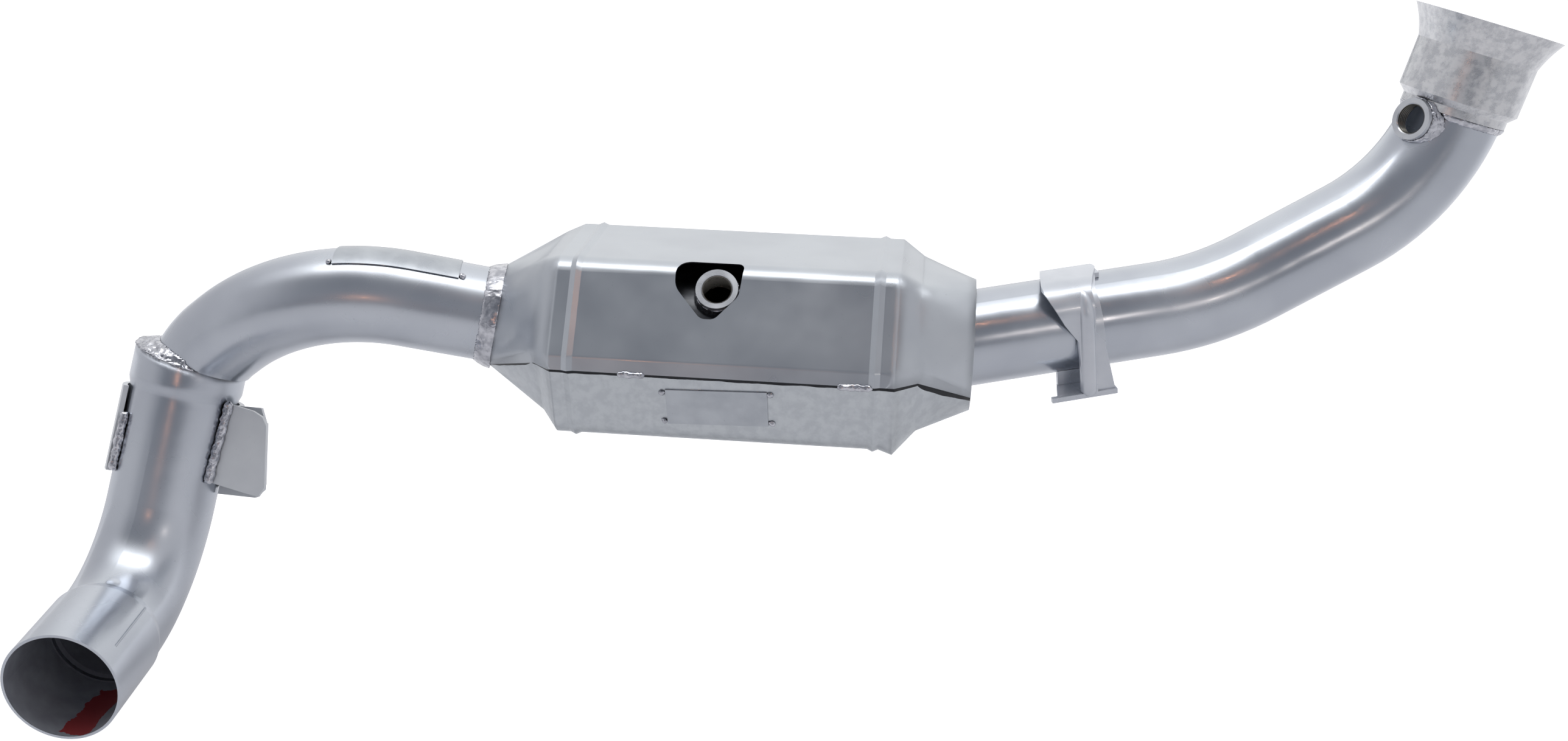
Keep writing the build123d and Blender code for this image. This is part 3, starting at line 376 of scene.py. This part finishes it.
def seamAndDent(tree, place):
    # the tube's weld seam, ground nearly flush, runs along the widened end; a small dent lies beside the step
    level = mouth["axis"].cross(Vector((0, 0, 1))).normalized()
    upward = level.cross(mouth["axis"])
    turn = math.radians(tubeSeam["angle"])
    outward = level * math.cos(turn) + upward * math.sin(turn)
    foot = mouth["centre"] + outward * tubeSeam["radius"] * mm
    along, away = alongAxis(tree, place, foot, mouth["axis"])
    ridge = addNode(tree, "ShaderNodeMapRange", {
        "Value": away, "From Min": 0.0, "From Max": tubeSeam["width"] * mm, "To Min": 1.0, "To Max": 0.0},
        interpolation_type="SMOOTHSTEP")
    widened = within(tree, along, tubeSeam["start"] * mm, tubeSeam["end"] * mm)
    seamHeight = maths(tree, "MULTIPLY", ridge.outputs["Result"], widened)
    toDent = addNode(tree, "ShaderNodeVectorMath", {
        0: place, 1: Vector(dent["centre"]) * mm}, operation="DISTANCE")
    hollow = addNode(tree, "ShaderNodeMapRange", {
        "Value": toDent.outputs["Value"], "From Min": 0.0, "From Max": dent["radius"] * mm,
        "To Min": dent["strength"], "To Max": 0.0}, interpolation_type="SMOOTHSTEP")
    return maths(tree, "ADD", seamHeight, hollow.outputs["Result"])


def softWaist(tree, place):
    # the upper tube's short step is a soft waist
    toWaist = addNode(tree, "ShaderNodeVectorMath", {
        0: place, 1: fromBody(*waist["fromBody"])}, operation="DISTANCE")
    reach = addNode(tree, "ShaderNodeMapRange", {
        "Value": toWaist.outputs["Value"], "From Min": waist["full"] * mm, "From Max": waist["gone"] * mm,
        "To Min": waist["soften"] * mm, "To Max": 0.0})
    return addNode(tree, "ShaderNodeBevel", {"Radius": reach.outputs["Result"]}, samples=8).outputs["Normal"]


def tailPaint():
    # the pipe's paint outside and bare sooty steel inside the mouth
    parts = metalParts("Silver paint on tail pipe", pipeLook)
    tree, place, shader = parts["tree"], parts["place"], parts["shader"]
    inside = insideMouth(tree, place)
    tone = mixColours(tree, inside, parts["tone"], mouthTone(tree, place))
    tree.links.new(tone, shader.inputs["Base Color"])
    for socket, bare in (("Metallic", mouth["metallic"]), ("Roughness", mouth["roughness"])):
        painted = shader.inputs[socket]
        source = painted.links[0].from_socket if painted.is_linked else painted.default_value
        blend = addNode(tree, "ShaderNodeMix", {0: inside, 2: source, 3: bare})
        tree.links.new(blend.outputs[0], painted)
    marks = bump(tree, seamAndDent(tree, place), markDepth, Normal=parts["peel"].outputs["Normal"])
    tree.links.new(marks.outputs["Normal"], shader.inputs["Normal"])
    tree.links.new(softWaist(tree, place), parts["runs"].inputs["Normal"])
    return parts["material"]


silverTail = tailPaint()

nodeMaterials = {
    "inlet_flare_collar": paintedCollar,
    "collar_weld": weldPaint,
    "inlet_pipe": silverPipe,
    "inlet_sensor_bung": inletRing,
    "inlet_bung_weld": weldPaint,
    "inlet_hanger_bracket": hangerPaint,
    "hanger_bracket_welds": weldPaint,
    "upper_heat_shield": silverShield,
    "lower_heat_shield": galvanised,
    "shield_seam_tacks": weldPaint,
    "shield_label_plate": plateSteel,
    "label_plate_tacks": weldPaint,
    "can_upper_half": canSteel,
    "can_lower_half": canSteel,
    "inlet_neck_weld": weldPaint,
    "inlet_brick": ceramic,
    "outlet_brick": ceramic,
    "inlet_mat": fibreMat,
    "outlet_mat": fibreMat,
    "body_sensor_bung": bodyRing,
    "body_bung_weld": weldPaint,
    "outlet_pipe": silverPipe,
    "outlet_neck_weld": weldPaint,
    "pipe_label_plate": plateSteel,
    "pipe_label_tacks": weldPaint,
    "tail_pipe": silverTail,
    "tail_joint_weld": weldPaint,
    "tail_bracket": bracketPaint,
    "tail_bracket_welds": weldPaint,
}
for nodeName, material in nodeMaterials.items():
    for materialSlot in frame["nodes"][nodeName].material_slots:
        materialSlot.link = "OBJECT"
        materialSlot.material = material
print("Materials on the CAD nodes")

# Each CAD weld bead is kept in form and gets the lumps and ripples of hand welding; the calm beads were laid
# evenly, so they get a share of the height only
bead = {"voxel": 0.55, "mergeWithin": 0.001}
beadRelief = {"Lump size": 4.2, "Lump height": 2.6, "Ripple size": 1.8, "Ripple height": 1.1}
calmBeads = {"outlet_neck_weld": 0.25, "inlet_neck_weld": 0.25, "collar_weld": 0.5, "body_bung_weld": 0.5}


def beadTree():
    tree = bpy.data.node_groups.new("Weld lumps", "GeometryNodeTree")
    tree.interface.new_socket("Geometry", in_out="INPUT", socket_type="NodeSocketGeometry")
    sockets = {}
    for name in beadRelief:
        sockets[name] = tree.interface.new_socket(
            name, in_out="INPUT", socket_type="NodeSocketFloat").identifier
    sockets["Finish"] = tree.interface.new_socket(
        "Finish", in_out="INPUT", socket_type="NodeSocketMaterial").identifier
    tree.interface.new_socket("Geometry", in_out="OUTPUT", socket_type="NodeSocketGeometry")
    given = tree.nodes.new("NodeGroupInput")
    made = tree.nodes.new("NodeGroupOutput")
    place = addNode(tree, "GeometryNodeInputPosition").outputs["Position"]
    heights = []
    for size, height in (("Lump size", "Lump height"), ("Ripple size", "Ripple height")):
        scale = maths(tree, "DIVIDE", 1.0, given.outputs[size])
        lumps = addNode(tree, "ShaderNodeTexNoise", {"Vector": place, "Scale": scale, "Detail": 2.0})
        level = maths(tree, "SUBTRACT", lumps.outputs["Fac"], 0.5)
        heights.append(maths(tree, "MULTIPLY", level, given.outputs[height]))
    normal = addNode(tree, "GeometryNodeInputNormal").outputs["Normal"]
    offset = addNode(tree, "ShaderNodeVectorMath", {
        0: normal, "Scale": maths(tree, "ADD", *heights)}, operation="SCALE")
    moved = addNode(tree, "GeometryNodeSetPosition", {
        "Geometry": given.outputs["Geometry"], "Offset": offset.outputs["Vector"]})
    real = addNode(tree, "GeometryNodeRealizeInstances", {"Geometry": moved.outputs["Geometry"]})
    finish = addNode(tree, "GeometryNodeSetMaterial", {
        "Geometry": real.outputs["Geometry"], "Material": given.outputs["Finish"]})
    tree.links.new(finish.outputs["Geometry"], made.inputs["Geometry"])
    return tree, sockets


weldTree, weldSockets = beadTree()


def mergedCopy(nodeName):
    # a CAD node's mesh is loose triangles, so its copy is merged first
    data = frame["nodes"][nodeName].data.copy()
    shape = bmesh.new()
    shape.from_mesh(data)
    bmesh.ops.remove_doubles(shape, verts=shape.verts, dist=bead["mergeWithin"] * mm)
    shape.to_mesh(data)
    shape.free()
    return data


def addBead(nodeName):
    draft = bpy.data.objects.new(nodeName + "_draft", mergedCopy(nodeName))
    scene.collection.objects.link(draft)
    remesh = draft.modifiers.new("Even mesh", "REMESH")
    remesh.mode = "VOXEL"
    remesh.voxel_size = bead["voxel"] * mm
    lumps = draft.modifiers.new("Lumps", "NODES")
    lumps.node_group = weldTree
    for name, value in beadRelief.items():
        calm = calmBeads.get(nodeName, 1.0) if "height" in name else 1.0
        lumps[weldSockets[name]] = value * calm * mm
    lumps[weldSockets["Finish"]] = weldPaint
    bpy.context.view_layer.update()
    graph = bpy.context.evaluated_depsgraph_get()
    mesh = bpy.data.meshes.new_from_object(draft.evaluated_get(graph), depsgraph=graph)
    bpy.data.objects.remove(draft)
    mesh.materials.clear()
    mesh.materials.append(weldPaint)
    mesh.shade_smooth()
    piece = bpy.data.objects.new(nodeName + "_bead", mesh)
    scene.collection.objects.link(piece)
    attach(piece, "root")
    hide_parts(nodeName)
    return len(mesh.polygons)


beadNodes = [name for name, material in nodeMaterials.items() if material == weldPaint]
beadFaces = sum(addBead(name) for name in beadNodes)
print("Weld beads:", len(beadNodes), "pieces,", beadFaces, "faces")

# fitted to the photo's pipes and shield edges; the place is in millimetres from the body's middle
photoCamera = {"azimuth": -5.0, "elevation": 20.4, "roll": -1.47, "place": (113.6, -938.6, 328.0),
               "sensor": 36.0, "focalPixels": 2716, "widePixels": 2576, "clipStart": 0.05, "clipEnd": 20.0}


def addCamera():
    data = bpy.data.cameras.new("Photo camera")
    camera = bpy.data.objects.new("Photo camera", data)
    scene.collection.objects.link(camera)
    azimuth, elevation, roll = (math.radians(photoCamera[key]) for key in ("azimuth", "elevation", "roll"))
    forward = Vector((math.sin(azimuth) * math.cos(elevation), math.cos(azimuth) * math.cos(elevation),
                      -math.sin(elevation)))
    level = Vector((math.cos(azimuth), -math.sin(azimuth), 0))
    down = forward.cross(level)
    right = level * math.cos(roll) + down * math.sin(roll)
    up = level * math.sin(roll) - down * math.cos(roll)
    camera.matrix_world = Matrix((
        (right.x, up.x, -forward.x, 0), (right.y, up.y, -forward.y, 0), (right.z, up.z, -forward.z, 0),
        (0, 0, 0, 1)))
    camera.location = fromBody(*photoCamera["place"])
    data.sensor_width = photoCamera["sensor"]
    data.lens = photoCamera["sensor"] * photoCamera["focalPixels"] / photoCamera["widePixels"]
    data.clip_start = photoCamera["clipStart"]
    data.clip_end = photoCamera["clipEnd"]
    scene.camera = camera


addCamera()
print("Camera fitted to the photo")

# white paper under the object, in metres; its glow is seen by the camera and, paler towards the back, by the
# metal
paper = {"below": 0.03, "half": 6.0, "tone": 0xCFCFD2, "glow": 0.8, "front": -0.1, "back": 0.7,
         "frontGlow": 0.08, "backGlow": 0.4}


def paperMaterial():
    material, tree, output = newMaterial("White paper floor")
    dull = addNode(tree, "ShaderNodeBsdfDiffuse", {"Color": colour(paper["tone"])})
    rays = tree.nodes.new("ShaderNodeLightPath")
    place = addNode(tree, "ShaderNodeTexCoord").outputs["Object"]
    depth = addNode(tree, "ShaderNodeSeparateXYZ", {0: place}).outputs["Y"]
    back = addNode(tree, "ShaderNodeMapRange", {
        "Value": depth, "From Min": paper["front"], "From Max": paper["back"],
        "To Min": paper["frontGlow"], "To Max": paper["backGlow"]}, interpolation_type="SMOOTHSTEP")
    mirrored = maths(tree, "MAXIMUM", rays.outputs["Is Glossy Ray"], rays.outputs["Is Transmission Ray"])
    seen = maths(tree, "MULTIPLY", mirrored, back.outputs["Result"])
    strength = maths(tree, "MULTIPLY_ADD", rays.outputs["Is Camera Ray"], paper["glow"], seen)
    glow = addNode(tree, "ShaderNodeEmission", {"Color": (1, 1, 1, 1), "Strength": strength})
    both = addNode(tree, "ShaderNodeAddShader", {0: dull.outputs["BSDF"], 1: glow.outputs["Emission"]})
    tree.links.new(both.outputs["Shader"], output.inputs["Surface"])
    return material


def addFloor():
    data = bpy.data.meshes.new("Studio floor")
    level = cadBounds[0][2] - paper["below"]
    half = paper["half"]
    corners = [(-half, -half, level), (half, -half, level), (half, half, level), (-half, half, level)]
    data.from_pydata(corners, [], [(0, 1, 2, 3)])
    data.materials.append(paperMaterial())
    floor = bpy.data.objects.new("Studio floor", data)
    scene.collection.objects.link(floor)


addFloor()

# how bright the studio is round the object: degrees up from the camera's side, over the top and down the
# back. The dim front of the room is a little blue, and plain pale walls take over past the object's sides
studio = {
    "levels": ((0, 0.22), (20, 0.28), (35, 0.25), (60, 0.22), (70, 0.5), (80, 1.45), (98, 1.55), (108, 1.0),
               (140, 0.95), (180, 0.95)),
    "dimBelow": 0.5, "dimTint": (0.94, 0.99, 1.1), "strength": 2.0,
    "walls": (0.29, 0.29, 0.3, 1), "wallsFrom": 0.3, "wallsFull": 0.85}


def setWorld():
    world = bpy.data.worlds.new("White studio")
    scene.world = world
    world.use_nodes = True
    tree = world.node_tree
    tree.nodes.clear()
    output = tree.nodes.new("ShaderNodeOutputWorld")
    rays = tree.nodes.new("ShaderNodeLightPath")
    white = addNode(tree, "ShaderNodeBackground", {"Color": (1, 1, 1, 1), "Strength": 1.0})
    incoming = addNode(tree, "ShaderNodeTexCoord").outputs["Generated"]
    direction = addNode(tree, "ShaderNodeSeparateXYZ", {0: incoming})
    towards = maths(tree, "MULTIPLY", direction.outputs["Y"], -1.0)
    turn = maths(tree, "ARCTAN2", direction.outputs["Z"], towards)
    stops = []
    for degrees, level in studio["levels"]:
        tint = studio["dimTint"] if level < studio["dimBelow"] else (1, 1, 1)
        stops.append((degrees / 180, (*(Vector(tint) * level / studio["strength"]), 1)))
    levels = ramp(tree, maths(tree, "DIVIDE", turn, math.pi), stops)
    sideways = maths(tree, "ABSOLUTE", direction.outputs["X"])
    ends = addNode(tree, "ShaderNodeMapRange", {
        "Value": sideways, "From Min": studio["wallsFrom"], "From Max": studio["wallsFull"]},
        interpolation_type="SMOOTHSTEP")
    walls = mixColours(tree, ends.outputs["Result"], levels, studio["walls"])
    room = addNode(tree, "ShaderNodeBackground", {"Color": walls, "Strength": studio["strength"]})
    mix = addNode(tree, "ShaderNodeMixShader", {
        0: rays.outputs["Is Camera Ray"], 1: room.outputs["Background"], 2: white.outputs["Background"]})
    tree.links.new(mix.outputs["Shader"], output.inputs["Surface"])


setWorld()


# a long box overhead, and three small lamps of the room that glint in the pipes; places and sizes are in
# millimetres, from the body's middle
lamps = {
    "Top softbox": {"place": (0, -100, 1300), "target": (0, 0, 0), "width": 1600, "height": 250, "watts": 4,
                    "tint": 0xFFFFFF},
    "Warm lamp": {"place": (-270, -1301, 300), "target": (-360, -61, -100), "width": 15, "height": 60,
                  "watts": 0.14, "tint": 0xFFAE7C},
    "Warm room lamp": {"place": (435, -740, 960), "target": (315, 26, 57), "width": 40, "height": 20,
                       "watts": 0.13, "tint": 0xFFAE7C},
    "Small lamp": {"place": (740, -921, 350), "target": (-360, -61, -100), "width": 20, "height": 50,
                   "watts": 0.2, "tint": 0xFFF0E4},
}


def addLamp(name, lamp):
    data = bpy.data.lights.new(name, "AREA")
    data.shape = "RECTANGLE"
    data.size = lamp["width"] * mm
    data.size_y = lamp["height"] * mm
    data.energy = lamp["watts"]
    data.color = colour(lamp["tint"])[:3]
    body = bpy.data.objects.new(name, data)
    body.location = fromBody(*lamp["place"])
    aim = fromBody(*lamp["target"]) - fromBody(*lamp["place"])
    body.rotation_euler = aim.to_track_quat("-Z", "Y").to_euler()
    scene.collection.objects.link(body)


for lampName, lamp in lamps.items():
    addLamp(lampName, lamp)
print("Studio: floor, world and lamps")

scene.view_settings.view_transform = "Standard"
